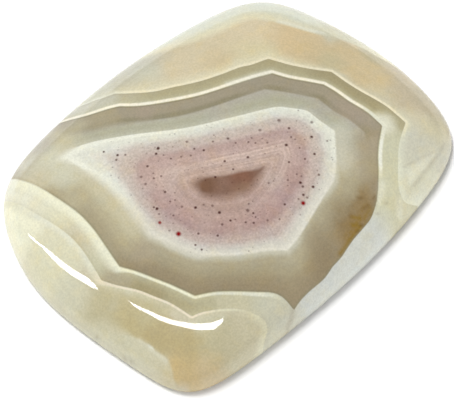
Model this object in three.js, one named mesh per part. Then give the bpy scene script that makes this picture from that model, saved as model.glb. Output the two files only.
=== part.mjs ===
// A polished agate cabochon, which is one stone: a cushion outline with four bowed sides, a low dome
// on top, a narrow bevel round the foot, and a flat back that it lies on.
// Millimetres, +Z up. The origin is the middle of the flat back, and +X runs along the stone.

import * as THREE from "three";

// Driving dimensions
const HEIGHT = 6.0; // flat back to the top of the dome
const BEVEL = 0.3; // height and width of the ground edge round the foot
const DOME_FLATNESS = 2.5; // 2 is an ellipse; more keeps the top flatter and the shoulder rounder

// The outline: straight cuts, each a bearing in degrees from +X and its distance from the middle.
// They are blended into one smooth closed curve, 40 by 30 mm.
const CUTS = [
  [-94, 15.5],
  [-77, 16.5],
  [-12, 21.2],
  [19, 19.6],
  [78, 15.9],
  [97, 15.8],
  [152.5, 20.9],
  [191.5, 19.9],
];
const CUT_BLEND = 10.4; // less rounds the corners and bows the sides more

// How finely the solid is faceted
const BEARINGS = 120;
const DOME_RINGS = 20;

// Distance from the middle to the foot's edge along one bearing, in radians.
function edgeDistance(bearing) {
  let sum = 0;
  for (const [cut, distance] of CUTS) {
    const towards = Math.cos(bearing - THREE.MathUtils.degToRad(cut));
    sum += (Math.max(0, towards) / distance) ** CUT_BLEND;
  }
  return sum ** (-1 / CUT_BLEND);
}

// Height of the dome at a share of the way out, where 0 is the middle and 1 the edge.
function domeHeight(share) {
  return BEVEL + (HEIGHT - BEVEL) * Math.sqrt(1 - share ** DOME_FLATNESS);
}

// Half of the stone's section, from the middle of the back round to the top of the dome:
// x is the share of the way out and y the height.
function halfSection() {
  const narrowest = Math.min(...CUTS.map(([, distance]) => distance));
  const section = [new THREE.Vector2(0, 0), new THREE.Vector2(1 - BEVEL / narrowest, 0)];
  for (let ring = 0; ring < DOME_RINGS; ring++) {
    const share = Math.cos((ring / DOME_RINGS) * (Math.PI / 2)); // rings crowd towards the steep edge
    section.push(new THREE.Vector2(share, domeHeight(share)));
  }
  section.push(new THREE.Vector2(0, HEIGHT));
  return section;
}

// The section turned once round a unit circle, then stretched out to the stone's own outline.
function stoneGeometry() {
  const stone = new THREE.LatheGeometry(halfSection(), BEARINGS).rotateX(Math.PI / 2);
  const place = stone.getAttribute("position");
  for (let i = 0; i < place.count; i++) {
    const x = place.getX(i);
    const y = place.getY(i);
    const stretch = edgeDistance(Math.atan2(y, x));
    place.setXY(i, x * stretch, y * stretch);
  }
  stone.computeVertexNormals();
  return stone;
}

const polishedAgate = new THREE.MeshStandardMaterial({
  color: new THREE.Color().setRGB(0.8, 0.76, 0.66, THREE.SRGBColorSpace),
  roughness: 0.08,
  metalness: 0,
});

const cabochon = new THREE.Mesh(stoneGeometry(), polishedAgate);
cabochon.name = "agate_cabochon";

const agate = new THREE.Group();
agate.add(cabochon);

export default agate;
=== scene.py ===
import math

import bpy
import numpy as np
from mathutils import Matrix, Vector


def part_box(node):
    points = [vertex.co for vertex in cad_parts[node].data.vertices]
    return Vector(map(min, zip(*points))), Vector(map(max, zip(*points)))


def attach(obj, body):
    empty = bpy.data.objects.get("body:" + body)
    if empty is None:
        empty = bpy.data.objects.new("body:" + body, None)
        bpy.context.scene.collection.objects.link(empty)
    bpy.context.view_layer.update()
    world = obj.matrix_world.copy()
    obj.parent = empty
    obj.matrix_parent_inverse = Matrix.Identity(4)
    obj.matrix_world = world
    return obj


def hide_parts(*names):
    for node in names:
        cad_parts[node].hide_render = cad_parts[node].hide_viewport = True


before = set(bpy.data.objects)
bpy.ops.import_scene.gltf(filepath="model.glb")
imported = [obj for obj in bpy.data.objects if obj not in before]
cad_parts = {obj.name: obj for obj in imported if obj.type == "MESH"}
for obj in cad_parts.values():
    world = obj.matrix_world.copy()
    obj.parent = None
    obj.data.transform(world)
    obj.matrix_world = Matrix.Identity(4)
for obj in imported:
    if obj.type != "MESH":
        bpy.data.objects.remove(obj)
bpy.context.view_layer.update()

# A polished agate cabochon. Lengths in this script are millimetres, and MM turns them into metres.
# Plan positions are x along the stone and y across it, seen from above its dome.
MM = 0.001
SEED = 11


# The stone's form, as in the model of its solid

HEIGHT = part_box("agate_cabochon")[1][2] / MM
BEVEL = 0.3
BEVEL_ROUNDING = 0.8  # 1 would be a quarter circle, and less is squarer
DOME_FLATNESS = 2.5
# The straight cuts that the outline is blended from: bearing in degrees, and distance from the middle
CUTS = [
    (-94, 15.5), (-77, 16.5), (-12, 21.2), (19, 19.6), (78, 15.9), (97, 15.8), (152.5, 20.9), (191.5, 19.9),
]
CUT_BLEND = 10.4
INSET = 0.9998  # keeps this finer surface inside the solid's box

# How finely the surface is divided
BEARINGS = 600
DOME_RINGS = 100
FOOT_RINGS = 6
BACK_RINGS = 36
SECTION_STEPS = 4000  # for measuring along the dome's section
BATCH = 8000  # how many points are measured against an outline at a time


# The camera

LENS, SENSOR = 150, 36
AZIMUTH, ELEVATION = -43, 62
AIM = (-1.31, -1.54, 0)
CAMERA_DISTANCE = 173.3


# The light. Lamps stand at one distance from the stone, in directions of azimuth and elevation in degrees.

SKY = 0.34
LAMP_DISTANCE = 400
# Soft lamps: from one direction to another, width, and radiance
SOFT_LAMPS = {
    "key": ((172, 50), (172, 76), 155, 19),
    "left_fill": ((-140, 12), (-60, 12), 120, 3),
    "right_fill": ((-40, 12), (40, 12), 120, 2.8),
}
# Tubes that show as the two bright arcs on the polish: azimuth, elevation and width in degrees along each
TUBE_RADIANCE = 22
TUBES = {
    "side_tube": [
        (-136.8, 21.3, 0.8), (-131.9, 32.8, 1.4), (-129.1, 35.9, 3.1), (-125.6, 38.7, 4),
        (-121.8, 41.5, 4.8), (-118.3, 44.8, 4.6), (-113.8, 49.3, 4), (-112.8, 50.2, 1.2),
    ],
    "top_tube": [
        (-109.8, 56.8, 0.4), (-108.3, 59.2, 2), (-105, 62.4, 2.3), (-92.2, 68.7, 2.5),
        (-74.4, 72, 3), (-47, 72.9, 3.4), (-24.5, 70.8, 3.6), (-9.4, 66.9, 3.8),
        (-0.2, 63, 4), (5.4, 60, 4.6), (10.4, 58.9, 1.5),
    ],
}


# The finish

QUARTZ_IOR = 1.54
POLISH_NOISE = (0.02, 0.035)  # roughness of the polished dome, from place to place
LAPPED = 0.3  # how much rougher the back is
BUMP_DEPTH = 0.0012  # how high the ripples of the polish are
WARM = (1.03, 1, 0.92, 1)  # what the two drifts in colour multiply by
COOL = (0.98, 1, 1.04, 1)
VEIL = 0.025  # what the gloss adds to a colour
EXPOSURE = 1.16  # how bright the studio light makes a matt white


# Outlines of the bands on the dome, in plan. Each outline is closed and is a list of runs.
# A run is drawn as a smooth curve as far as the first point of the next run, and there the band has
# a corner. Outlines that leave the stone are closed well outside it.

HEART = [
    [(-4.35, -0.6), (-3.4, -0.8), (-2, -1.85), (-0.5, -2.65), (0.5, -3.3)],
    [(1.3, -3.6), (0.4, -3.85), (-0.6, -4.2), (-1.5, -4.3), (-2.3, -3.9), (-3.3, -3.35), (-4.2, -2.5),
     (-4.5, -1.6)],
]
INNER_TERRACE = [
    [(-4.7, 0.6), (-3.2, -0.15), (-1.2, -1.4), (0.4, -2.3), (1.7, -3.05)],
    [(2.8, -3.7), (1.9, -4.2), (0.5, -4.7), (-0.9, -5), (-2.4, -5), (-4, -4), (-5.1, -2.7)],
    [(-5.5, -1.2), (-5.1, 0.1)],
]
OUTER_TERRACE = [
    [(-5.9, 2.5), (-4.4, 1.5), (-3, 0.7), (-1.5, -0.1), (0, -0.95), (1, -1.55), (2, -2.05), (3.1, -2.6)],
    [(4.3, -3.15), (3.7, -4.2), (2.3, -5.1), (0.3, -5.7), (-1.5, -6.05), (-3.2, -5.9), (-4.8, -4.9),
     (-6, -3.6)],
    [(-6.6, -1), (-6.7, 0.9), (-6.5, 2)],
]
EYE = [
    [(-10.9, 10.3), (-9.6, 10.1), (-8, 9.32), (-5, 7.14), (-2, 4.8), (0, 3.52), (3, 1.93), (6, 0.45)],
    [(6.8, -0.1), (8, -1.55)],
    [(8.3, -2.1), (8.4, -3.5)],
    [(8.65, -5.1), (6.5, -7.5)],
    [(5.2, -8.55), (3, -9.2), (1, -9.8), (-1, -10.35)],
    [(-2.5, -10.55), (-3.2, -10)],
    [(-4, -9.45), (-6, -8.3), (-7.2, -7.4)],
    [(-8.8, -6), (-9.5, -4.5)],
    [(-10.5, -1.6), (-10.1, 2), (-9.95, 5), (-10.4, 8)],
]
GREY_BAND = [
    [(-10.6, 17), (-9.9, 13.6), (-9.2, 12.5), (-8.2, 11.5), (-7, 10.3), (-5, 8.9), (-3, 7.25), (-1, 5.75),
     (1, 4.65), (3, 3.8), (5, 3.05)],
    [(7, 2.3), (8.2, 0.8), (9.3, -0.7)],
    [(9.95, -1.6), (10.1, -3.5), (10.5, -5)],
    [(10.7, -6.9), (9.3, -8.5), (7, -9.8), (3, -10.9), (-1, -11.7)],
    [(-3.4, -11.6), (-7, -9.7), (-9.6, -7.7), (-10.9, -5.2)],
    [(-12, -2), (-12.1, 1.5), (-12, 5), (-12.3, 8.5), (-12.8, 12), (-13.2, 17)],
]
INNER_LINE = [
    [(-14.9, 17), (-14.7, 13), (-14.1, 9.9), (-13.75, 7.5), (-13.45, 5), (-13.45, 3.5), (-13.6, 2),
     (-13.95, 0)],
    [(-14.2, -1.65), (-13.5, -3), (-12.65, -5), (-12.2, -6.1), (-11.8, -7.2)],
    [(-11.4, -8.3), (-10, -9.15), (-9, -9.9), (-8, -10.7), (-7, -11.5), (-6, -12.3), (-5.45, -13.1)],
    [(-5.2, -14.3), (-4.2, -14.12), (-3, -14.05), (-1.3, -14.05)],
    [(0, -13.8), (1.2, -13.68), (2.2, -13.45), (3.2, -13.24), (4.5, -13.07), (5.6, -12.88), (6.5, -12.48)],
    [(7.2, -12.05), (8, -11.4), (9, -10.4), (10, -9.3), (11, -8.42), (12, -7.7)],
    [(12.5, -7.35), (12.45, -6), (12.3, -5), (11.95, -3.6), (11.73, -2)],
    [(11.45, -0.8), (10.5, 0.45), (9.5, 1.77)],
    [(8.72, 3.15), (7.5, 3.68), (6, 4.28), (4, 5.06), (2, 5.97), (0, 7.22), (-1.9, 8.65), (-2.9, 9.65)],
    [(-3.5, 10.45), (-4.4, 11.1), (-6, 12.1), (-7, 13), (-7.8, 14)],
    [(-9.6, 17)],
]
OUTER_LINE = [
    [(-17.2, 17), (-16.75, 13), (-16.2, 9.8), (-15.85, 7.5), (-15.5, 5.3), (-15.36, 3.5), (-15.45, 2),
     (-15.8, 0)],
    [(-16.1, -1.3), (-15.5, -2.6), (-14.5, -4.35), (-13.9, -5.8), (-13.3, -7.3)],
    [(-12.8, -9.4), (-12, -9.72), (-11, -10.3), (-10, -10.95), (-9, -11.8), (-8.4, -12.7), (-8, -13.5),
     (-8.3, -14.2), (-9.4, -14.8), (-11, -16)],
    [(-12, -19)],
    [(12, -19), (12.6, -15.5), (11.4, -14.3), (10.2, -13.9), (9.55, -13.5), (9.5, -12.9), (10, -12),
     (11, -10.95), (12, -9.97), (13, -9.25)],
    [(14.6, -8.35), (14.5, -7.2), (14.38, -6), (14.08, -4.8), (13.72, -3.6), (13.38, -2.1)],
    [(13.13, -0.15), (12, 1.1), (11, 2.4), (10.5, 3.15)],
    [(9.65, 4.65), (8, 5.15), (7, 5.65), (5, 6.34), (3, 7.25), (1, 8.5), (0, 9.1), (-1, 9.97),
     (-2, 11.15)],
    [(-2.7, 12.15), (-3.5, 12.6), (-4.3, 13.2), (-5.3, 14)],
    [(-7.5, 17)],
]
CROWN = [
    [(1, 15.5), (2.4, 13.9), (4, 12.75), (6, 11.5), (8, 10.65), (10, 10.1), (11.6, 9.75)],
    [(12.4, 9.2), (13.3, 8), (14, 6.8), (14.7, 5.6), (15.6, 4.2), (16.9, 2.8), (18, 0.8), (18.9, -1.8)],
    [(21, -6)],
    [(24, -24)],
    [(-24, -24)],
    [(-24, 24)],
    [(-2, 24)],
]
FOOT_PATCH = [
    [(-19.6, -2.4), (-18.6, -3.8), (-18, -5), (-17.5, -6.3), (-17.1, -7.7), (-16.9, -9), (-16.6, -10.2),
     (-16.7, -10.9), (-17.1, -11.7), (-17.6, -12.8)],
    [(-20, -16)],
    [(-24, -6)],
]
OUTLINES = {
    "heart": HEART, "inner_terrace": INNER_TERRACE, "outer_terrace": OUTER_TERRACE, "eye": EYE,
    "grey_band": GREY_BAND, "inner_line": INNER_LINE, "outer_line": OUTER_LINE, "crown": CROWN,
    "foot_patch": FOOT_PATCH,
}
LEAN = np.array([0.1, -0.07])  # how far the bands lean for each millimetre below the dome

# The bands of the eye, from its heart at 0 to its edge at 1
EYE_BANDS = [
    (0, "inner beige"), (0.15, "inner beige"), (0.25, "pale beige"), (0.35, "inner beige"),
    (0.45, "dusk"), (0.55, "shell rose"), (0.62, "shell rose"), (0.665, "pale beige"), (0.7, "rose"),
    (0.74, "rose"), (0.78, "lilac"), (0.81, "pale rose"), (0.845, "pale lilac"), (0.88, "pale pearl"),
    (0.913, "pearl"), (0.948, "pale bluish"), (0.983, "rim white"),
]
# Fine lines along the terraces: the outline, where a line starts, its width and its strength
TERRACE_LINES = [
    ("outer_terrace", 0, 0.07, 0.8), ("outer_terrace", -0.38, 0.05, 0.65),
    ("outer_terrace", -0.7, 0.05, 0.45), ("outer_terrace", 0.36, 0.05, 0.3),
    ("inner_terrace", 0, 0.07, 0.6), ("inner_terrace", -0.3, 0.05, 0.3),
]


# Colours, as they look on a screen, 0 to 255

PALETTE = {
    # white and cream
    "bright": (250, 243, 222), "white": (235, 235, 219), "bright cream": (238, 237, 211),
    "line cream": (240, 230, 200), "pink cream": (236, 225, 202), "ivory": (227, 226, 206),
    "light cream": (229, 223, 193), "mint": (221, 223, 204), "cream": (221, 218, 190),
    "pale green": (212, 209, 183), "mist": (205, 207, 199), "silver green": (209, 208, 186),
    "silver": (200, 198, 180), "pale reed": (204, 202, 174), "sand": (207, 200, 173),
    "wheat": (216, 206, 170), "light straw": (201, 194, 165), "straw": (195, 187, 153),
    # brown and olive
    "reed": (187, 181, 155), "khaki": (177, 169, 136), "moss": (167, 157, 123), "olive": (152, 145, 121),
    "umber": (145, 131, 105), "taupe": (164, 155, 134), "rosy taupe": (170, 157, 138),
    "light taupe": (176, 165, 141), "sage": (180, 178, 156), "cool sage": (182, 177, 162),
    "tan": (188, 179, 149), "dim tan": (178, 169, 142), "dun": (171, 161, 133), "brown": (161, 149, 122),
    "hazel": (156, 143, 117), "moss grey": (138, 135, 112), "halo green": (214, 213, 196),
    # orange and ochre
    "peach": (212, 199, 168), "light peach": (222, 207, 174), "apricot": (206, 188, 150),
    "orange": (218, 196, 155), "pink beige": (193, 181, 155), "ochre": (194, 181, 138),
    "dark ochre": (187, 172, 129), "amber": (202, 180, 134), "rust": (143, 121, 84),
    "mustard": (140, 114, 56), "dark rust": (112, 86, 48),
    # pink
    "beige": (192, 169, 156), "shell": (204, 183, 171), "halo": (190, 161, 141),
    "grey rose": (181, 159, 146), "warm rose": (194, 168, 156), "rose": (193, 169, 160),
    "clay rose": (178, 149, 136), "lilac": (187, 163, 155), "mauve": (181, 158, 155),
    "pale rose": (197, 178, 169), "blush": (205, 187, 177), "inner beige": (191, 168, 154),
    "pale beige": (200, 177, 165), "dusk": (190, 168, 157), "shell rose": (200, 178, 167),
    "pale lilac": (203, 189, 178), "pale pearl": (206, 194, 183), "pearl": (214, 209, 198),
    "pale bluish": (222, 222, 208), "rim white": (233, 233, 217),
    # the heart and the specks
    "heart": (140, 111, 96), "dark heart": (127, 97, 79), "red heart": (137, 101, 84),
    "light heart": (148, 118, 99), "speck": (78, 46, 40), "red speck": (140, 22, 46),
}

# Where bands change colour along their length: the colour, its place, and how far it reaches
EYE_TINTS = [
    ("blush", -5, 1.3, 1.8), ("lilac", -7.7, -0.8, 2.4), ("clay rose", -4, -5.7, 2.4),
    ("halo", -3.6, -0.1, 1.6), ("grey rose", -5.2, -3.4, 2.4), ("grey rose", -2.8, -4.9, 1.6),
    ("mauve", 0.6, -7.6, 2.4), ("pale rose", -4.6, -7, 1.8), ("halo", -1.4, -1.6, 1.4),
    ("warm rose", -6.5, 2.6, 2), ("light peach", -7.6, 6.6, 3.2), ("pale rose", -6.8, -4.4, 1.6),
    ("pale pearl", 1, -5.2, 1.6), ("clay rose", 2.7, -6, 1.3), ("pale pearl", -7.9, 2.1, 1.4),
    ("beige", 5.6, -3.6, 1.3),
]
PLAIN_TINTS = [
    ("sand", -13.3, 10.6, 3), ("silver green", -11.2, 11.2, 2.4), ("silver", -13.1, 12.5, 2),
    ("tan", -12.9, 6.2, 2.4), ("cool sage", -10.6, 13.3, 2.4), ("reed", -9, 13.2, 1.8),
    ("light straw", -9, 11, 2.4), ("silver green", -11.6, 8.8, 2.4), ("light taupe", -12, -2.1, 1.8),
    ("hazel", 0.6, -11.9, 2.8), ("umber", 0, -13.5, 3), ("umber", 3.8, -11.4, 2.6),
    ("tan", 7.2, -8.2, 2.2), ("light taupe", 8.4, -8.9, 2.2), ("light taupe", 10.4, -8.2, 2.2),
    ("dun", 9.2, -9.6, 1.6), ("dim tan", -2.2, -10.8, 1.6),
]
GREY_TINTS = [
    ("cool sage", 8.9, -2.6, 2), ("cool sage", 2.2, 3.2, 2), ("light straw", -9.4, 10.6, 2.4),
]
BANDED_TINTS = [
    ("rosy taupe", 11.2, -4.6, 3.2), ("rosy taupe", -2.4, 8.3, 1.4), ("taupe", 9.6, 0.4, 2.6),
    ("taupe", 6.4, 3.2, 2), ("dun", -5.6, 10.4, 2.4), ("reed", -7.6, 12, 2), ("dun", -4.8, 11.2, 1.6),
]
BETWEEN_TINTS = [
    ("ivory", -15.6, 10.5, 4.6), ("cream", -14.9, 6.2, 3), ("sand", -15, 2.6, 3.4),
    ("pale reed", -15.3, 0.5, 2.4), ("dim tan", -15, -2.2, 2.4), ("moss", -13.6, -5, 2.6),
    ("khaki", -12.4, -8, 2.4), ("khaki", -11.8, -9.3, 1.8), ("light straw", -8.6, -11.3, 2.8),
    ("silver", -6.6, -13.2, 2.6), ("silver", -8.6, -15, 2.2), ("silver", -5.4, -14.9, 1.6),
    ("mist", -3.6, -14.8, 2.4), ("mist", -1, -14.6, 3), ("mist", 1.8, -14.3, 3), ("mist", 4.6, -13.9, 2.6),
    ("mist", 6.2, -13.4, 1.8), ("pale reed", 7.2, -13, 2.2), ("pale reed", 9.2, -11.8, 3),
    ("pale reed", 11.4, -9.6, 2.6), ("light straw", 9, -13.1, 1.5), ("khaki", 14.1, -7, 2.2),
    ("moss", 13.4, -4.8, 2.6), ("moss", 12.5, -1.4, 3.4), ("khaki", 9.2, 3.9, 3.4), ("khaki", 5.6, 5.3, 3),
    ("khaki", 2.2, 6.8, 3.2), ("khaki", 0.4, 8, 1.8), ("reed", -2, 10.3, 2.4), ("khaki", -1.4, 9.3, 1.4),
    ("silver", -4.6, 12.8, 3), ("silver", -5, 13.6, 2),
]
OUTSIDE_TINTS = [
    ("silver green", -3.6, 13.2, 2.4), ("sand", -0.3, 10.3, 2.4), ("silver", -1.2, 13.4, 3),
    ("silver", 1.4, 13.4, 3.8), ("sand", -1.4, 11.9, 1.8), ("silver green", 0.8, 11.8, 1.8),
    ("peach", 4.6, 9.8, 4.6), ("apricot", 6.5, 7.8, 2.2), ("peach", 8.4, 9, 3.6),
    ("light peach", 11.6, 8.6, 3.6), ("wheat", 8.4, 6.8, 2.6), ("wheat", 9.9, 5.6, 2.2),
    ("orange", 13.3, 5.2, 3.4), ("apricot", 13.2, 2.8, 3), ("straw", 14.1, 0.9, 1.8),
    ("apricot", 15.6, 0.4, 2.6), ("apricot", 15.8, -2.6, 2.8), ("sand", 14.6, -5, 2.4),
    ("pink beige", 16.8, -5.6, 2.6), ("pink beige", 17.6, -7.6, 2.4), ("sand", 15.8, -8.6, 1.8),
    ("tan", 18.8, -0.8, 2.2), ("pink beige", 18.8, -3.8, 2.2), ("dim tan", 19, -7, 2.4),
    ("dim tan", 18.6, -9.6, 2.4), ("silver", 14.2, -9.8, 2.6), ("light straw", 16.6, -10.4, 2.2),
    ("silver green", 12, -12.6, 3), ("silver", 13.4, -10.8, 2.2), ("silver", 15.6, -12, 2.4),
    ("bright cream", -17.8, 9.4, 4.6), ("cream", -16.6, 3.6, 3.2), ("cream", -18.6, 3.2, 3.4),
    ("pale green", -19.2, -0.4, 2.8), ("straw", -17.4, -3, 2.8), ("straw", -14.6, -6, 2.4),
    ("pale green", -11.8, -10.5, 1.9), ("straw", -12.4, -12.2, 2.8), ("ochre", -16.8, -5.8, 2.4),
    ("dark ochre", -14.9, -10.9, 2), ("dark ochre", -16, -8.6, 2.2), ("amber", -16.2, -12, 2.2),
    ("apricot", -14.4, -13.6, 2.2), ("light straw", -11.6, -13.9, 2.4), ("light straw", -9.6, -13.2, 2.2),
    ("silver", -17.6, -13, 1.4),
]
# The white lines, and the glow outside the outer one
INNER_LINE_TINTS = [
    ("bright", -6, 11.8, 7), ("bright", 4, 5, 9), ("bright", 11.4, -1, 5), ("ivory", 13, -7.2, 2.6),
    ("white", 10, -9.5, 3), ("ivory", 8, -11.6, 2.5), ("bright cream", -14.2, 6, 7),
    ("bright cream", -13.8, -3, 4), ("bright cream", -12, -6.6, 4), ("ivory", -8.6, -10.5, 4.5),
    ("silver green", -5.6, -13.4, 2),
]
OUTER_LINE_TINTS = [
    ("ivory", -4, 13.4, 4), ("line cream", 1.5, 8.4, 7), ("line cream", 9.6, 4.4, 5),
    ("line cream", 13.6, -3.4, 6), ("ivory", -15.8, 5, 6), ("pink cream", -14.6, -4.6, 5),
    ("pink cream", -12.6, -9.2, 3), ("cream", -9.8, -11.2, 3),
]
GLOW_TINTS = [
    ("light cream", 2, 8.5, 8), ("light cream", 9, 4.8, 4), ("sand", 14, -3, 5),
    ("mint", 11.5, -11.5, 4.5), ("cream", -16, 6, 6), ("sand", -12, -10, 5),
]

# Small drawn marks: how strong and how wide each one is, and its points
PALE_MARKS = [
    (0.32, 0.36, [(11.4, -12.1), (13, -12), (14.6, -11.95), (15.2, -11.9)]),
    (0.25, 0.3, [(11.2, -12.5), (12.6, -12.3), (13.8, -12.15)]),
    (0.8, 0.12, [(-16.95, -8.3), (-16.88, -8.9)]),
    (0.3, 0.18, [(-17.15, -7.4), (-16.95, -8.4), (-16.85, -9.4), (-16.75, -10.4)]),
    (0.3, 0.3, [(8.4, -13.9), (9.2, -13.2)]),
    (0.4, 0.3, [(7.8, -12), (8.6, -11.3)]),
    (0.4, 0.26, [(4.9, 5.05), (6.2, 4.5), (7.6, 3.98), (8.6, 3.5)]),
    (0.6, 0.2, [(13.8, 7.6), (14.4, 6.8), (14.9, 5.8), (15.5, 4.9), (16.3, 4)]),
]
DARK_MARKS = [
    (0.16, 0.14, [(11.3, -11.3), (12.6, -11.5), (13.8, -11.62), (15.2, -11.8)]),
    (0.24, 0.15, [
        (11.2, -12.92), (12.4, -12.68), (13.5, -12.45), (14.6, -12.22), (15.6, -11.98), (16.6, -11.62),
    ]),
    (0.3, 0.18, [(-5.3, -14.3), (-5.8, -14.6), (-6.5, -14.85)]),
    (0.14, 0.2, [(-14.6, 11.9), (-12.2, 12.2), (-10.4, 12.8), (-9.8, 13.3)]),
    (0.14, 0.18, [(-8, -13.2), (-7.9, -13.8), (-8.3, -14.3), (-9, -14.7)]),
    (0.35, 0.13, [(7.72, -12.66), (7.85, -12.76)]),
    (0.4, 0.11, [(4.6, -12.85), (5.4, -12.72), (6.4, -12.32), (7.25, -11.92)]),
    (0.3, 0.12, [(6.4, -12.86), (6.6, -12.92)]),
    (0.3, 0.14, [(9.95, -1.5), (9.98, -2.3)]),
    (0.35, 0.12, [(-19.25, -4), (-19.2, -4.15)]),
    (0.35, 0.12, [(-18.78, -7.1), (-18.74, -7.3)]),
    (0.35, 0.12, [(-18.58, -7.75), (-18.54, -7.9)]),
]
OCHRE_MARKS = [
    (0.9, 0.22, [(3.85, -12.4), (4.2, -12.6)]),
    (0.7, 0.17, [(4.3, -11.9), (4.6, -12.15), (4.8, -12.35)]),
    (0.75, 0.22, [(1.3, -13.45), (2, -13.35), (2.6, -13.18), (3.4, -13), (4.4, -12.85)]),
    (0.5, 0.2, [(5.2, -12.55), (6.2, -12.3)]),
    (0.4, 0.2, [(13.4, -8.85), (13.9, -8.7)]),
    (0.25, 0.2, [(13.8, -8.2), (14.1, -8.1)]),
]
RUST_MARKS = [
    (0.75, 0.12, [(4.45, -12.8), (4.7, -12.9)]),
    (0.55, 0.14, [(7, -11.85), (7.35, -11.7)]),
    (0.45, 0.18, [(5.9, -11), (6.1, -11.15)]),
    (0.45, 0.12, [(3.8, -12.95), (4, -13)]),
    (0.4, 0.14, [(5.6, -11.9), (6.2, -11.95)]),
    (0.35, 0.14, [(4.1, -11.75), (4.3, -11.7)]),
]

MARKS = {
    "pale_marks": PALE_MARKS, "dark_marks": DARK_MARKS,
    "ochre_marks": OCHRE_MARKS, "rust_marks": RUST_MARKS,
}

# Iron specks in the eye, by how dark they are: place and radius
SPECKS = {
    0.93: [(-7.9, 7.6, 0.1), (-7.3, 6.4, 0.12), (-4.3, 4.3, 0.16), (-4.8, 4, 0.12), (-8.4, -0.1, 0.14),
        (-5.9, -2.4, 0.13), (-4.7, -4.2, 0.14), (4.3, -3.3, 0.14), (6.6, -4.2, 0.13), (2.7, -6.8, 0.13),
        (3.3, -7.8, 0.13)],
    0.87: [(-1.5, 1.3, 0.11), (-0.9, -0.8, 0.11), (-2.6, -1.4, 0.11), (0.9, -1.9, 0.12), (5.6, -5.6, 0.12),
        (-4.5, -5.4, 0.11), (2.1, -7.8, 0.12)],
    0.81: [(-6.2, 3.6, 0.12), (-6.8, 0.6, 0.12), (-0.9, -1.9, 0.1), (5.7, -2.2, 0.12), (3.3, -4.7, 0.11),
        (-2.5, -6.2, 0.1), (0.2, -7.4, 0.11), (-8.3, -5, 0.1), (-8.2, -5.7, 0.1), (-6.3, -5.7, 0.11)],
    0.75: [(-4.4, 3.4, 0.1), (-4.2, 2.7, 0.09), (-2, 2, 0.1), (0.9, 0.7, 0.12), (-8.5, 0.2, 0.1),
        (4.6, -5.4, 0.1), (-3.6, -6.4, 0.1), (-3.1, -6.9, 0.11), (2.6, -7.2, 0.12), (-7.4, -4.4, 0.11)],
    0.69: [(-7.7, 6.1, 0.12), (-6.6, 2.3, 0.1), (2, -0.8, 0.09), (5.2, -3, 0.1), (-5.3, -5.2, 0.12),
        (-2.6, -6.6, 0.08), (4.5, -7.3, 0.11), (2.4, -1.3, 0.1)],
    0.63: [(-6.8, 5.9, 0.1), (-7.5, 2.4, 0.12), (-6, 2, 0.1), (-2, 3, 0.12), (-0.3, 1.4, 0.1),
        (-8.6, -0.6, 0.09), (-7.1, -0.4, 0.1), (-6.7, -0.6, 0.08), (1.1, -0.1, 0.1), (5.6, -1, 0.15),
        (7.7, -3.1, 0.14), (5, -4.3, 0.09), (-2.7, -5.7, 0.15), (2.2, -8.2, 0.12), (-7.8, -1.6, 0.1)],
    0.57: [(-7.3, 3.2, 0.12), (-6.3, 2.7, 0.09), (-3.4, 2.2, 0.1), (-2.7, 1.7, 0.1), (5.3, -3.4, 0.08),
        (0.5, -5, 0.1), (1.5, -7.8, 0.09), (2, -5.9, 0.1), (3, -6, 0.09), (3.2, -6.4, 0.09),
        (2.5, -0.7, 0.09), (3.6, -0.6, 0.14), (3.2, -2, 0.1), (-5.2, -2.7, 0.1), (-4.7, -3.3, 0.12),
        (-2.2, -5.3, 0.09), (-2, -7.5, 0.1), (-1.1, -8.1, 0.09), (-4.1, -5.6, 0.09), (-6.7, -1.5, 0.12),
        (-9, -2.4, 0.1), (7.4, -5.4, 0.1)],
}
# Red ones: place, radius and how dark each one is
RED_SPECKS = [(1.55, -8.35, 0.2, 1), (-8.65, -3.2, 0.22, 1), (-9.1, -1.25, 0.15, 0.9)]
# Faint specks strewn over the eye, dome and back: how many, the corners of their field, radius, darkness
FAINT_SPECKS = 260
FAINT_FIELD = ((-9.5, -9), (8, 8))
FAINT_RADIUS = (0.045, 0.085)
FAINT_DARKNESS = (0.15, 0.5)
# The first of those on the back stand in for the listed ones: how many, how much larger and darker
BOLD_SPECKS, BOLD_RADIUS, BOLD_DARKNESS = 60, 1.6, 2.2


def linear(value):
    """A screen value of 0 to 255 as the shader's linear 0 to 1."""
    value /= 255
    return value / 12.92 if value <= 0.04045 else ((value + 0.055) / 1.055) ** 2.4


def tone(name, brightness=1):
    """The base colour that looks like a palette colour in the scene, where the gloss adds some white."""
    base = [max(0, linear(value) * brightness - VEIL) / EXPOSURE for value in PALETTE[name]]
    return (*base, 1)


# The stone's surface

def edge_distance(bearing):
    """From the middle of the stone to its outline, along bearings in radians."""
    total = 0
    for cut, distance in CUTS:
        total = total + (np.maximum(0, np.cos(bearing - math.radians(cut))) / distance) ** CUT_BLEND
    return INSET * total ** (-1 / CUT_BLEND)


def dome_height(share):
    """Height of the dome at a share of the way out, where 0 is the middle and 1 the outline."""
    return BEVEL + (HEIGHT - BEVEL) * np.sqrt(np.maximum(0, 1 - share ** DOME_FLATNESS))


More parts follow.
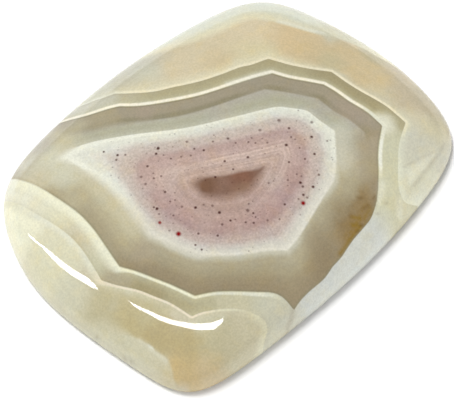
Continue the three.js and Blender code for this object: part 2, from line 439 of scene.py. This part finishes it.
def half_section():
    """Shares of the way out and heights, from the top of the dome to the middle of the back."""
    narrowest = min(distance for _, distance in CUTS)
    fine = np.sin(np.linspace(0, math.pi / 2, SECTION_STEPS))
    steps = np.hypot(np.diff(fine * narrowest), np.diff(dome_height(fine)))
    along = np.concatenate([[0], np.cumsum(steps)])
    dome_share = np.interp(np.linspace(0, along[-1], DOME_RINGS + 1), along, fine)
    turn = np.linspace(0, math.pi / 2, FOOT_RINGS + 1)[1:]
    foot_share = 1 - BEVEL / narrowest * (1 - np.cos(turn) ** BEVEL_ROUNDING)
    foot_height = BEVEL * (1 - np.sin(turn) ** BEVEL_ROUNDING)
    back_share = foot_share[-1] * np.linspace(1, 0, BACK_RINGS + 1)[1:]
    share = np.concatenate([dome_share, foot_share, back_share])
    height = np.concatenate([dome_height(dome_share), foot_height, np.zeros(BACK_RINGS)])
    return share, height


def stone_mesh():
    """The closed surface. Returns its mesh and points, and for each face its ring, counted from the top."""
    share, height = half_section()
    bearing = np.arange(BEARINGS) * 2 * math.pi / BEARINGS
    reach = edge_distance(bearing)
    rings = len(share) - 2
    across = share[1:-1, None] * reach
    up = np.repeat(height[1:-1, None], BEARINGS, 1)
    ring_points = np.stack([across * np.cos(bearing), across * np.sin(bearing), up], 2)
    points = np.concatenate([[[0, 0, height[0]]], ring_points.reshape(-1, 3), [[0, 0, height[-1]]]])
    this = np.arange(BEARINGS)
    following = (this + 1) % BEARINGS
    faces = [(0, 1 + a, 1 + b) for a, b in zip(this, following)]
    for ring in range(rings - 1):
        near, far = 1 + ring * BEARINGS, 1 + (ring + 1) * BEARINGS
        faces += [(near + a, far + a, far + b, near + b) for a, b in zip(this, following)]
    base, last = 1 + (rings - 1) * BEARINGS, len(points) - 1
    faces += [(base + a, last, base + b) for a, b in zip(this, following)]
    mesh = bpy.data.meshes.new("agate_surface")
    mesh.from_pydata(points * MM, [], faces)
    mesh.shade_smooth()
    return mesh, points, np.repeat(np.arange(rings + 1), BEARINGS)


# Outlines and distances

def smooth_run(points, steps=8):
    """Points along a curve through the given points, without the last one."""
    points = np.array(points, float)
    padded = np.concatenate([[2 * points[0] - points[1]], points, [2 * points[-1] - points[-2]]])
    drawn = []
    for before, start, end, after in zip(padded, padded[1:], padded[2:], padded[3:]):
        for t in np.arange(steps) / steps:
            bend = 2 * before - 5 * start + 4 * end - after
            twist = 3 * start - before - 3 * end + after
            drawn.append(0.5 * (2 * start + (end - before) * t + bend * t ** 2 + twist * t ** 3))
    return np.array(drawn)


def closed_outline(runs):
    """One closed polygon from the runs, each drawn as far as the first point of the next."""
    following = runs[1:] + runs[:1]
    return np.concatenate([smooth_run(run + [after[0]]) for run, after in zip(runs, following)])


def signed_distance(places, runs):
    """How far each place is from the outline, in millimetres: above 0 outside it and below 0 inside."""
    start = closed_outline(runs)
    end = np.roll(start, -1, 0)
    side = end - start
    length = (side ** 2).sum(1)
    found = []
    for part in np.array_split(places, max(1, len(places) // BATCH)):
        away = part[:, None] - start
        along = np.clip((away * side).sum(2) / length, 0, 1)
        nearest = np.sqrt(((away - along[..., None] * side) ** 2).sum(2).min(1))
        spans = (start[:, 1] > part[:, 1:]) != (end[:, 1] > part[:, 1:])
        slope = side[:, 0] / np.where(side[:, 1] == 0, 1e-9, side[:, 1])
        crossing = start[:, 0] + (part[:, 1:] - start[:, 1]) * slope
        inside = (spans & (part[:, :1] < crossing)).sum(1) % 2 == 1
        found.append(np.where(inside, -nearest, nearest))
    return np.concatenate(found)


def store(mesh, name, values, domain="POINT"):
    """Stores a number or a vector for each point or face corner of the mesh."""
    kind, field = ("FLOAT", "value") if values.ndim == 1 else ("FLOAT_VECTOR", "vector")
    mesh.attributes.new(name, kind, domain).data.foreach_set(field, values.astype(np.float32).ravel())


def lay_pattern(mesh, points):
    """Gives each point of the surface its place in the pattern and its distances from the outlines."""
    bearing = np.arctan2(points[:, 1], points[:, 0])
    share = np.hypot(points[:, 0], points[:, 1]) / edge_distance(bearing)
    depth = dome_height(np.minimum(share, 1)) - points[:, 2]
    places = points[:, :2] + depth[:, None] * LEAN
    for name, runs in OUTLINES.items():
        store(mesh, name, signed_distance(places, runs))
    for name, marks in MARKS.items():
        store(mesh, name, mark_strength(places, marks))
    store(mesh, "fall", HEIGHT - dome_height(np.minimum(share, 1)))
    store(mesh, "place", np.column_stack([places, depth]))
    return places


def mark_strength(places, marks):
    """How strongly the drawn marks show at each place, 0 to 1."""
    found = np.zeros(len(places))
    for strength, width, line in marks:
        for start, end in zip(np.array(line), np.array(line[1:])):
            away, side = places - start, end - start
            along = np.clip(away @ side / (side @ side), 0, 1)
            distance = np.hypot(*(away - along[:, None] * side).T)
            found = np.maximum(found, strength * np.exp(-(distance / width) ** 2))
    return found


def corner_lists(mesh):
    """The point and the face of each face corner."""
    corner_point = np.zeros(len(mesh.loops), np.int32)
    mesh.loops.foreach_get("vertex_index", corner_point)
    sizes = np.zeros(len(mesh.polygons), np.int32)
    mesh.polygons.foreach_get("loop_total", sizes)
    return corner_point, np.repeat(np.arange(len(sizes)), sizes), sizes


def faint_specks(rng):
    """Specks strewn at random: place, radius and how dark each one is."""
    spread = rng.uniform(*FAINT_FIELD, (FAINT_SPECKS, 2))
    radius = rng.uniform(*FAINT_RADIUS, FAINT_SPECKS)
    dark = rng.uniform(*FAINT_DARKNESS, FAINT_SPECKS)
    return np.column_stack([spread, radius, dark])


def lay_specks(mesh, places, face_ring):
    """Stores at each face corner where it lies from the speck nearest to the face, in speck radii, and
    how dark that speck is. Red specks count 1 more."""
    rng = np.random.default_rng(SEED)
    brown = np.array([(*speck, dark) for dark, group in SPECKS.items() for speck in group])
    red = np.array(RED_SPECKS) + (0, 0, 0, 1)
    front = np.concatenate([brown, red, faint_specks(rng)])
    behind = faint_specks(rng)
    behind[:BOLD_SPECKS, 2] *= BOLD_RADIUS
    behind[:BOLD_SPECKS, 3] *= BOLD_DARKNESS
    corner_point, corner_face, sizes = corner_lists(mesh)
    sums = np.zeros((len(sizes), 2))
    np.add.at(sums, corner_face, places[corner_point])
    middles = sums / sizes[:, None]
    nearest = np.zeros((len(sizes), 4))
    for specks, faces in ((front, face_ring <= DOME_RINGS), (behind, face_ring > DOME_RINGS)):
        listed = np.flatnonzero(faces)
        for part in np.array_split(listed, max(1, len(listed) // BATCH)):
            away = middles[part, None] - specks[None, :, :2]
            nearest[part] = specks[(np.hypot(away[..., 0], away[..., 1]) - specks[:, 2]).argmin(1)]
    mine = nearest[corner_face]
    offset = (places[corner_point] - mine[:, :2]) / mine[:, 2:3]
    store(mesh, "speck", np.column_stack([offset, mine[:, 3]]), "CORNER")


def lay_map(mesh, points, face_ring):
    """A UV map with the dome above and the back, smaller and flatter, below it."""
    corner_point, corner_face, _ = corner_lists(mesh)
    bearing = np.arctan2(points[:, 1], points[:, 0])
    reach = edge_distance(bearing)
    last = DOME_RINGS + FOOT_RINGS + BACK_RINGS
    ring = np.concatenate([[0], 1 + np.arange(len(points) - 2) // BEARINGS, [last]])
    dome_out = np.minimum(ring / DOME_RINGS, 1)
    back_out = 1 - (ring - DOME_RINGS) / (FOOT_RINGS + BACK_RINGS)
    x, y = reach * np.cos(bearing), reach * np.sin(bearing)
    widest = 41
    dome_middle, dome_stretch = 0.63, 0.96
    back_middle, back_stretch = 0.13, 0.33
    dome_map = np.column_stack([
        0.5 + dome_out * x / widest, dome_middle + dome_out * y / widest * dome_stretch,
    ])
    back_map = np.column_stack([
        0.5 - back_out * x / widest, back_middle + back_out * y / widest * back_stretch,
    ])
    on_dome = face_ring[corner_face] < DOME_RINGS
    places = np.where(on_dome[:, None], dome_map[corner_point], back_map[corner_point]).astype(np.float32)
    mesh.uv_layers.new(name="OFBake").data.foreach_set("uv", places.ravel())


# The material. In the functions below, n is a Nodes, d holds the distances from the outlines by name,
# and place is where a point lies in the pattern. Places, reaches and distances are in millimetres.

class Nodes:
    """Adds shader nodes to a tree. Every method but node() gives back an output socket."""

    def __init__(self, tree):
        self.tree = tree
        spot = self.node("TexCoord").outputs["Object"]
        self.spot = self.node("Mapping", {"Vector": spot, "Scale": [1 / MM] * 3}).outputs[0]
        self.slow = self.node("Mapping", {"Vector": spot, "Scale": [0.06 / MM] * 3}).outputs[0]

    def put(self, socket, value):
        """Links a socket to another, or sets it to a plain value."""
        if isinstance(value, bpy.types.NodeSocket):
            self.tree.links.new(value, socket)
        else:
            socket.default_value = value

    def node(self, kind, inputs=None, **settings):
        """A new node with its inputs and settings."""
        made = self.tree.nodes.new("ShaderNode" + kind)
        for name, value in settings.items():
            setattr(made, name, value)
        for name, value in (inputs or {}).items():
            self.put(made.inputs[name], value)
        return made

    def number(self, name):
        """A number stored on the mesh."""
        return self.node("Attribute", attribute_name=name).outputs["Fac"]

    def vector(self, name):
        """A vector stored on the mesh."""
        return self.node("Attribute", attribute_name=name).outputs["Vector"]

    def math(self, operation, a, b=0, c=0):
        return self.node("Math", {0: a, 1: b, 2: c}, operation=operation).outputs[0]

    def along(self, where, x, y, depth=0):
        """How far a place lies in a direction."""
        made = self.node("VectorMath", {0: where, 1: (x, y, depth)}, operation="DOT_PRODUCT")
        return made.outputs["Value"]

    def product(self, first, *others):
        for other in others:
            first = self.math("MULTIPLY", first, other)
        return first

    def scale(self, value, factor, offset):
        return self.math("MULTIPLY_ADD", value, factor, offset)

    def larger(self, a, b):
        return self.math("MAXIMUM", a, b)

    def change(self, value, low, high, to_low=0, to_high=1):
        """A smooth change as value goes from low to high, held at both ends."""
        inputs = {"Value": value, "From Min": low, "From Max": high, "To Min": to_low, "To Max": to_high}
        return self.node("MapRange", inputs, interpolation_type="SMOOTHSTEP", clamp=False).outputs[0]

    def between(self, inner, outer):
        """From 0 on the inner outline to 1 on the outer one, given the distances from both."""
        whole = self.math("SUBTRACT", inner, outer)
        share = self.math("DIVIDE", inner, whole)
        return self.node("Clamp", {"Value": share}).outputs[0]

    def line(self, distance, width, inner_blur=0.06, outer_blur=0.1):
        """1 on a line that starts at distance 0 and has this width, and 0 elsewhere."""
        begins = self.change(distance, -inner_blur / 2, inner_blur / 2)
        gone = self.math("ADD", width, outer_blur)
        return self.product(begins, self.change(distance, width, gone, 1, 0))

    def mix(self, share, a, b):
        return self.node("Mix", {0: share, 6: a, 7: b}, data_type="RGBA").outputs[2]

    def brighten(self, colour, factor):
        """The colour times a number, which may be above 1."""
        inputs = {0: factor, 6: (0, 0, 0, 1), 7: colour}
        return self.node("Mix", inputs, data_type="RGBA", clamp_factor=False).outputs[2]

    def multiply(self, share, colour, by):
        """The colour multiplied by another, as far as share says."""
        inputs = {0: share, 6: colour, 7: by}
        return self.node("Mix", inputs, data_type="RGBA", blend_type="MULTIPLY").outputs[2]

    def ramp(self, value, stops):
        """A colour from named palette colours at their places along value."""
        made = self.node("ValToRGB", {"Fac": value})
        points = made.color_ramp.elements
        for index, (place, name) in enumerate(stops):
            point = points[index] if index < 2 else points.new(place)
            point.position = place
        for point, (place, name) in zip(points, stops):
            point.position = place
            point.color = tone(name)
        return made.outputs["Color"]

    def noise(self, scale, detail=3, roughness=0.5, w=0):
        inputs = {"Vector": self.spot, "W": w, "Scale": scale, "Detail": detail, "Roughness": roughness}
        return self.node("TexNoise", inputs, noise_dimensions="4D").outputs["Fac"]

    def distance(self, where, x, y):
        return self.node("VectorMath", {0: where, 1: (x, y, 0)}, operation="DISTANCE").outputs["Value"]

    def near(self, where, x, y, reach, core=0.25):
        """1 around a place, fading to 0 at its reach."""
        return self.change(self.distance(where, x, y), reach * core, reach, 1, 0)

    def tint(self, colour, where, tints, strength=1):
        """The colour changed by each tint in turn."""
        for name, x, y, reach in tints:
            share = self.product(self.near(where, x, y, reach, 0.1), strength)
            colour = self.mix(share, colour, tone(name))
        return colour

    def blend(self, where, base, tints):
        """The colours of all tints near a place, each by how near it is, with a little of the base."""
        total, colour = 0.08, tone(base)
        for name, x, y, reach in tints:
            share = self.near(where, x, y, reach, 0)
            total = self.math("ADD", share, total)
            colour = self.mix(self.math("DIVIDE", share, total), colour, tone(name))
        return colour

    def stripes(self, along, count, depth):
        """A brightness that varies in fine bands as along goes from 0 to 1."""
        across = self.math("MULTIPLY", along, count)
        inputs = {"Vector": self.slow, "W": across, "Scale": 1, "Detail": 4, "Roughness": 0.6}
        bands = self.node("TexNoise", inputs, noise_dimensions="4D").outputs["Fac"]
        return self.change(bands, 0.25, 0.75, 1 - depth, 1 + depth)


def eye_colour(n, d, place, cloud):
    """Pink terraces from the brown heart to the white rim."""
    inside = n.between(d["heart"], d["inner_terrace"])
    middle = n.between(d["inner_terrace"], d["outer_terrace"])
    outside = n.between(d["outer_terrace"], d["eye"])
    third = n.math("DIVIDE", n.math("ADD", n.math("ADD", inside, middle), outside), 3)
    along = n.math("ADD", third, n.scale(cloud, 0.05, -0.025))
    colour = n.ramp(along, EYE_BANDS)
    lower = n.change(n.along(place, 0.51, 0.86), -1, -5.5)
    lower = n.product(lower, n.change(along, 0.87, 0.91, 1, 0.65))
    colour = n.multiply(lower, colour, (0.885, 0.83, 0.84, 1))
    colour = n.tint(colour, place, EYE_TINTS, n.change(along, 0.9, 0.8, 0, 0.3))
    colour = n.brighten(colour, n.stripes(third, 30, 0.065))
    # Fine lines above the heart, where the bands turn a corner, and faint ones all round
    upper = n.change(n.along(place, 0.51, 0.86), -2.4, -1, 0.35, 1)
    corner = n.product(n.change(n.distance(place, 1.6, -1.8), 5.6, 2.4, 0.2, 0.9), upper)
    for outline, start, width, strength in TERRACE_LINES:
        shape = n.line(n.math("SUBTRACT", d[outline], start), width, 0.12, 0.16)
        colour = n.mix(n.product(shape, corner, strength), colour, tone("shell", 1.2))
    # Fine grain, in brightness and between pink and beige
    rough = n.change(n.noise(4.6, 3, 0.65), 0.3, 0.7, -0.12, 0.12)
    colour = n.brighten(colour, n.scale(rough, n.change(along, 0.98, 0.86, 0.3, 1), 1))
    warm = n.change(n.noise(1.3, 4, 0.65, w=4), 0.5, 0.68, 0, 0.3)
    colour = n.mix(n.product(warm, n.change(along, 0.95, 0.85)), colour, tone("shell"))
    return heart_colour(n, d, place, colour)


def heart_colour(n, d, place, colour):
    """The brown heart, with a soft lower edge and a soft left end, laid over the colour."""
    heart = n.mix(n.near(place, -3.9, -1.3, 1.7, 0.2), tone("heart"), tone("dark heart"))
    heart = n.mix(n.near(place, -0.8, -2.9, 1.8, 0.2), heart, tone("red heart"))
    heart = n.mix(n.near(place, -1.6, -4.1, 1.3, 0.2), heart, tone("light heart"))
    heart = n.brighten(heart, n.change(n.noise(1.6, 5, 0.65), 0.3, 0.7, 0.92, 1.08))
    lower = n.change(n.along(place, 0.4, 0.92), -2.9, -3.7)
    soft = n.larger(lower, n.near(place, -4.4, -0.6, 1.3, 0.4))
    begins = n.scale(soft, 0.5, 0.26)
    whole = n.scale(soft, -0.4, -0.15)
    return n.mix(n.change(d["heart"], begins, whole), colour, heart)


def middle_colour(n, d, place, cloud):
    """Grey-green next to the eye and banded brown outside that, and a plain brown on the left and below."""
    share = n.between(d["eye"], d["inner_line"])
    grey = n.ramp(share, [(0, "sage"), (0.25, "sage"), (0.5, "cool sage")])
    grey = n.tint(grey, place, GREY_TINTS, 0.7)
    banded = n.ramp(n.between(d["grey_band"], d["inner_line"]), [
        (0, "olive"), (0.22, "olive"), (0.42, "taupe"), (0.9, "taupe"), (1, "brown"),
    ])
    banded = n.tint(banded, place, BANDED_TINTS, 0.75)
    blur = n.change(n.along(place, 1, 0), -6, -2, 0.5, 0.12)
    banded = n.mix(n.change(d["grey_band"], n.product(blur, -1), blur), grey, banded)
    left = n.ramp(share, [
        (0, "sand"), (0.27, "light straw"), (0.56, "tan"), (0.84, "dun"), (1, "dun"),
    ])
    low = n.ramp(share, [
        (0, "dim tan"), (0.25, "dim tan"), (0.48, "dun"), (0.65, "brown"), (0.85, "hazel"),
    ])
    plain = n.mix(n.change(n.along(place, 0, 1), 0.5, -3), left, low)
    plain = n.tint(plain, place, PLAIN_TINTS, 0.8)
    colour = n.mix(n.change(n.along(place, 0.63, 0.78), 0, 2.4), plain, banded)
    fading = n.change(n.distance(place, -11.2, 12.6), 3.6, 2)
    colour = n.mix(fading, colour, plain)
    colour = n.brighten(colour, n.stripes(share, 11, 0.03))
    # A pale greenish glow round the eye, widest at its lower right
    below = n.along(place, 0.2, 0.98)
    halo = n.product(n.change(d["eye"], 0.75, 0), n.change(below, -1, -5, 0.3, 0.62))
    halo = n.product(halo, n.change(n.distance(place, 1.6, -10.2), 1.4, 3, 0.25, 1))
    wide = n.product(n.change(d["eye"], 2.8, 0.2), n.near(place, 8.2, -6.7, 3.4, 0.4), 0.6)
    colour = n.mix(n.larger(halo, wide), colour, tone("halo green"))
    return iron_stain(n, d, place, colour)


def iron_stain(n, d, place, colour):
    """The stain at the lower edge, laid over the colour: a haze, ragged patches in it, and small marks."""
    ragged = n.scale(n.noise(1.1, 5, 0.65), 2.6, -1.3)
    inward = n.math("ADD", n.product(d["inner_line"], -1), ragged)
    sideways = n.product(n.change(n.along(place, 1, 0), 1, 3.4), n.change(n.along(place, 1, 0), 7.8, 6.2))
    haze = n.product(n.change(inward, 2.6, 0.8), sideways, n.change(n.along(place, 0, 1), -9.8, -10.8))
    colour = n.mix(n.product(haze, 0.85), colour, tone("rust"))
    patchy = n.change(n.noise(2.6, 4, 0.6, w=2), 0.5, 0.6)
    near_edge = n.product(n.change(d["inner_line"], -1.5, -0.2), n.near(place, 4.6, -12.4, 2.6, 0.4))
    colour = n.mix(n.product(patchy, near_edge, 0.65), colour, tone("mustard"))
    colour = n.mix(n.number("ochre_marks"), colour, tone("mustard"))
    return n.mix(n.number("rust_marks"), colour, tone("dark rust"))


def between_colour(n, d, place):
    """Olive between the two white lines, paler next to the inner one except at the bottom, and across the
    band at the lower left and lower right.
    """
    share = n.between(d["inner_line"], d["outer_line"])
    x = n.along(place, 1, 0)
    colour = n.blend(place, "khaki", BETWEEN_TINTS)
    right = n.change(x, -6, 5, 0.05, 0)
    slope = n.scale(n.change(share, 0.3, 1), right, 1)
    colour = n.brighten(colour, n.product(slope, n.stripes(share, 6, 0.035)))
    lower = n.change(n.along(place, 0, 1), -8, -10)
    glow = n.product(n.change(d["inner_line"], 0.15, 1.1), n.scale(lower, -0.35, 0.5))
    glow = n.math("SUBTRACT", 0.5, n.math("MINIMUM", glow, 0.5))
    glow = n.product(glow, n.change(n.distance(place, 0.5, -19), 7, 10.4))
    colour = n.mix(glow, colour, tone("pale reed", 1.03))
    corner = n.product(n.near(place, 12.8, -7.3, 1.7, 0.2), 0.85)
    colour = n.mix(corner, colour, tone("ivory"))
    dark = n.product(n.change(d["outer_line"], -0.35, -0.05), n.change(d["inner_line"], 0.3, 0.9), 0.12)
    return n.mix(n.product(dark, n.change(n.along(place, 0, 1), -9, -7)), colour, tone("umber"))


def outside_colour(n, d, place):
    """Cream, peach and ochre outside the lines, a pale crown on the far side and a patch at the foot."""
    x, y = n.along(place, 1, 0), n.along(place, 0, 1)
    colour = n.blend(place, "sand", OUTSIDE_TINTS)
    colour = n.brighten(colour, n.stripes(n.math("DIVIDE", d["outer_line"], 8), 13, 0.025))
    top = n.product(n.change(x, -3, 0), n.change(y, 0, 4))
    glow = n.change(d["outer_line"], 0, n.scale(top, 0.7, 0.9), 0.7, 0)
    colour = n.mix(glow, colour, n.blend(place, "cream", GLOW_TINTS))
    blur = n.change(x, 11, 14, 0.6, 0.2)
    crown = n.mix(n.change(d["crown"], 0.2, 1.8), tone("light cream"), tone("mint"))
    crown = n.mix(n.near(place, 17.6, 3.2, 3.6, 0.3), crown, tone("pale green"))
    colour = n.mix(n.change(d["crown"], n.product(blur, -1), blur), colour, crown)
    patch = n.mix(n.change(y, -8.5, -11.5), tone("pale green"), tone("light straw", 1.05))
    edge = n.change(y, -4.5, -7, 0.9, 0.2)
    share = n.change(d["foot_patch"], edge, n.product(edge, -0.7), 0, 0.85)
    return n.mix(share, colour, patch)


def specks(n, colour):
    """Round brown specks, and a few red ones."""
    speck = n.vector("speck")
    flat = n.node("VectorMath", {0: speck, 1: (1, 1, 0)}, operation="MULTIPLY").outputs[0]
    radius = n.node("VectorMath", {0: flat}, operation="LENGTH").outputs["Value"]
    kind = n.along(speck, 0, 0, 1)
    red = n.math("GREATER_THAN", kind, 1.01)
    dark = n.math("SUBTRACT", kind, red)
    spot = n.product(n.change(radius, 1.55, 0.4), dark)
    return n.mix(spot, colour, n.mix(red, tone("speck"), tone("red speck")))


def bands(n, d, place, x, y):
    """The pattern of the stone: its bands, the two white lines between them, and the drawn marks."""
    cloud = n.noise(0.9, 4, 0.55)
    sideways = [n.scale(n.noise(0.35, 2, w=w), 1.2, -0.6) for w in (3, 8)]
    drift = n.node("CombineXYZ", {"X": sideways[0], "Y": sideways[1]}).outputs[0]
    drift = n.node("VectorMath", {0: drift, 1: place}, operation="ADD").outputs[0]

    colour = outside_colour(n, d, drift)
    colour = n.mix(n.change(d["outer_line"], 0.04, -0.04), colour, between_colour(n, d, drift))
    # The lines are broad and soft on the left, thin below the bend there, and fade out at the foot
    left = n.change(n.distance(place, -15, 5.4), 8.4, 6)
    bend = n.product(n.change(y, -0.8, -2.4), n.change(x, -6, -10))
    faded = n.larger(n.near(place, 10.6, -12, 4.6, 0.7), n.near(place, -8, -13.8, 3.4, 0.4))
    drawn = n.scale(faded, -0.85, 1)
    width = n.scale(bend, -0.03, 0.13)
    fading = n.scale(bend, -0.12, n.scale(left, 0.35, 0.25))
    thin = n.line(n.math("SUBTRACT", d["outer_line"], 0.03), width, 0.1, fading)
    colour = n.mix(n.product(thin, drawn), colour, n.blend(place, "cream", OUTER_LINE_TINTS))

    colour = n.mix(n.change(d["inner_line"], 0.04, -0.04), colour, middle_colour(n, d, drift, cloud))
    hugging = n.product(n.change(d["inner_line"], -0.25, -0.05), n.change(d["inner_line"], 0.06, -0.02))
    hugging = n.product(hugging, n.change(n.distance(place, -13.5, 12), 2, 5), 0.35)
    colour = n.mix(hugging, colour, tone("moss grey"))
    faded = n.product(n.change(x, -5.3, -4.7), n.change(x, 7.8, 6.8), n.change(y, -11, -11.6))
    faded = n.larger(faded, n.near(place, -5, -14.6, 2.4, 0.3))
    faded = n.larger(faded, n.near(place, 8.2, -11.4, 2, 0.2))
    drawn = n.math("SUBTRACT", 1, faded)
    width = n.scale(bend, -0.07, 0.2)
    fading = n.scale(bend, -0.04, n.scale(left, 0.85, 0.22))
    thick = n.line(n.math("SUBTRACT", d["inner_line"], 0.08), width, 0.1, fading)
    colour = n.mix(n.product(thick, drawn), colour, n.blend(place, "ivory", INNER_LINE_TINTS))

    # The eye, whose edge is soft on the left and sharp on the upper right
    left = n.change(n.distance(place, -12.5, 3), 6.5, 3.5)
    soft = n.larger(left, n.near(place, -9.2, -4.5, 3, 0.3))
    soft = n.larger(soft, n.near(place, -11, 10.5, 2.4, 0.3))
    blur = n.scale(soft, 0.5, n.change(n.along(place, 0.4, 0.92), -2, 0, 0.14, 0.06))
    edge = n.change(d["eye"], blur, n.product(blur, -1))
    colour = n.mix(edge, colour, specks(n, eye_colour(n, d, place, cloud)))
    colour = n.mix(n.number("pale_marks"), colour, tone("white"))
    return n.mix(n.number("dark_marks"), colour, tone("umber"))


def shade(n, place, depth, colour):
    """Adds mottling, fine grain, drifts towards warm and cool, and painted shade and painted light to the
    colour.
    """
    mottle = n.change(n.noise(1.5, 5, 0.65), 0.3, 0.7, 0.972, 1.028)
    grain = n.change(n.noise(5.5, 2, 0.5), 0.3, 0.7, 0.94, 1.06)
    for w, by in ((1.5, WARM), (6.5, COOL)):
        colour = n.multiply(n.change(n.noise(0.6, 5, 0.65, w=w), 0.46, 0.7), colour, by)
    # Painted shade: a little darker towards the far edge, which mirrors more of the sky
    colour = n.brighten(colour, n.change(n.along(place, 0.1, 0.99), 10.6, 13.6, 1, 0.88))
    # Painted light: brighter towards the lower right edge, standing in for the light that comes through the
    # stone
    outward = n.node("VectorMath", {0: place}, operation="NORMALIZE").outputs[0]
    lit = n.product(n.larger(n.along(outward, 0.42, -0.91), 0), n.change(depth, 0.3, 0))
    glow = n.product(n.math("MINIMUM", n.number("fall"), 4), lit, 0.11)
    return n.brighten(colour, n.product(mottle, grain, n.math("ADD", glow, 1)))


def agate():
    """The stone's material: its pattern, polished above and lapped to a satin finish on the back."""
    material = bpy.data.materials.new("agate")
    material.use_nodes = True
    n = Nodes(material.node_tree)
    surface = material.node_tree.nodes["Principled BSDF"].inputs
    place = n.vector("place")
    d = {name: n.number(name) for name in OUTLINES}
    x, y, depth = n.along(place, 1, 0), n.along(place, 0, 1), n.along(place, 0, 0, 1)
    n.put(surface["Base Color"], shade(n, place, depth, bands(n, d, place, x, y)))
    back = n.change(depth, 0.02, 0.3)
    polish = n.change(n.noise(0.7, 2), 0.35, 0.65, *POLISH_NOISE)
    n.put(surface["Roughness"], n.math("ADD", polish, n.product(back, LAPPED)))
    scratches = n.noise(9, 4, 0.7)
    ripple = n.noise(0.25, 1)
    height = n.math("ADD", n.product(ripple, 0.5), n.product(scratches, back, 4))
    bump = n.node("Bump", {"Height": height, "Strength": 1, "Distance": BUMP_DEPTH * MM})
    n.put(surface["Normal"], bump.outputs["Normal"])
    n.put(surface["IOR"], QUARTZ_IOR)
    return material


def stone():
    """The stone in place of its solid."""
    mesh, points, face_ring = stone_mesh()
    places = lay_pattern(mesh, points)
    lay_specks(mesh, places, face_ring)
    lay_map(mesh, points, face_ring)
    mesh.materials.append(agate())
    piece = bpy.data.objects.new("agate_stone", mesh)
    bpy.context.collection.objects.link(piece)
    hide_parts("agate_cabochon")
    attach(piece, "root")


# Floor, light and camera

def floor():
    """A plain pale floor, in metres."""
    mesh = bpy.data.meshes.new("floor")
    half = 3.0
    corners = [(-half, -half, 0), (half, -half, 0), (half, half, 0), (-half, half, 0)]
    mesh.from_pydata(corners, [], [(0, 1, 2, 3)])
    material = bpy.data.materials.new("pale_floor")
    material.use_nodes = True
    surface = material.node_tree.nodes["Principled BSDF"]
    surface.inputs["Base Color"].default_value = (0.97, 0.97, 0.97, 1)
    surface.inputs["Roughness"].default_value = 0.9
    surface.inputs["Specular IOR Level"].default_value = 0.0
    mesh.materials.append(material)
    ground = bpy.data.objects.new("floor", mesh)
    bpy.context.collection.objects.link(ground)


def direction(azimuth, elevation):
    """Towards a place seen from the stone. Azimuth 0 is -Y, and the camera's own is AZIMUTH."""
    a, e = math.radians(azimuth), math.radians(elevation)
    return Vector((math.sin(a) * math.cos(e), -math.cos(a) * math.cos(e), math.sin(e)))


def strip_light(name, start, end, width, radiance, shape="ELLIPSE"):
    """A long narrow light between two directions, each an azimuth and elevation. It faces the stone."""
    start, end = direction(*start), direction(*end)
    towards = (start + end).normalized()
    along = (end - start).normalized()
    data = bpy.data.lights.new(name, "AREA")
    data.shape = shape
    data.size = 2 * LAMP_DISTANCE * math.tan(start.angle(end) / 2) * MM
    data.size_y = width * MM
    filled = math.pi / 4 if shape == "ELLIPSE" else 1
    data.energy = radiance * math.pi * data.size * data.size_y * filled
    lamp = bpy.data.objects.new(name, data)
    turned = Matrix((along, towards.cross(along), towards)).transposed().to_4x4()
    lamp.matrix_world = Matrix.Translation(towards * LAMP_DISTANCE * MM) @ turned
    bpy.context.collection.objects.link(lamp)
    return lamp


def lights():
    """A white sky, the soft lamps, and the tubes, which add nothing but the two bright arcs."""
    world = bpy.data.worlds.new("studio")
    world.use_nodes = True
    sky = world.node_tree.nodes["Background"].inputs
    sky["Color"].default_value = (1, 1, 1, 1)
    sky["Strength"].default_value = SKY
    bpy.context.scene.world = world
    for name, stations in TUBES.items():
        for start, end in zip(stations, stations[1:]):
            width = LAMP_DISTANCE * math.radians(start[2] + end[2]) / 2
            tube = strip_light(name, start[:2], end[:2], width, TUBE_RADIANCE, "RECTANGLE")
            tube.visible_diffuse = False
    for name, (start, end, width, radiance) in SOFT_LAMPS.items():
        strip_light(name, start, end, width, radiance).visible_glossy = False


def camera():
    """Looks at the stone from the photo's side."""
    data = bpy.data.cameras.new("camera")
    data.lens = LENS
    data.sensor_width = SENSOR
    data.clip_start, data.clip_end = 0.005, 20.0
    eye = bpy.data.objects.new("camera", data)
    towards = direction(AZIMUTH, ELEVATION)
    eye.matrix_world = (
        Matrix.Translation((Vector(AIM) + towards * CAMERA_DISTANCE) * MM)
        @ towards.to_track_quat("Z", "Y").to_matrix().to_4x4()
    )
    bpy.context.collection.objects.link(eye)
    bpy.context.scene.camera = eye


camera()
stone()
floor()
lights()
bpy.context.scene.view_settings.view_transform = "Standard"
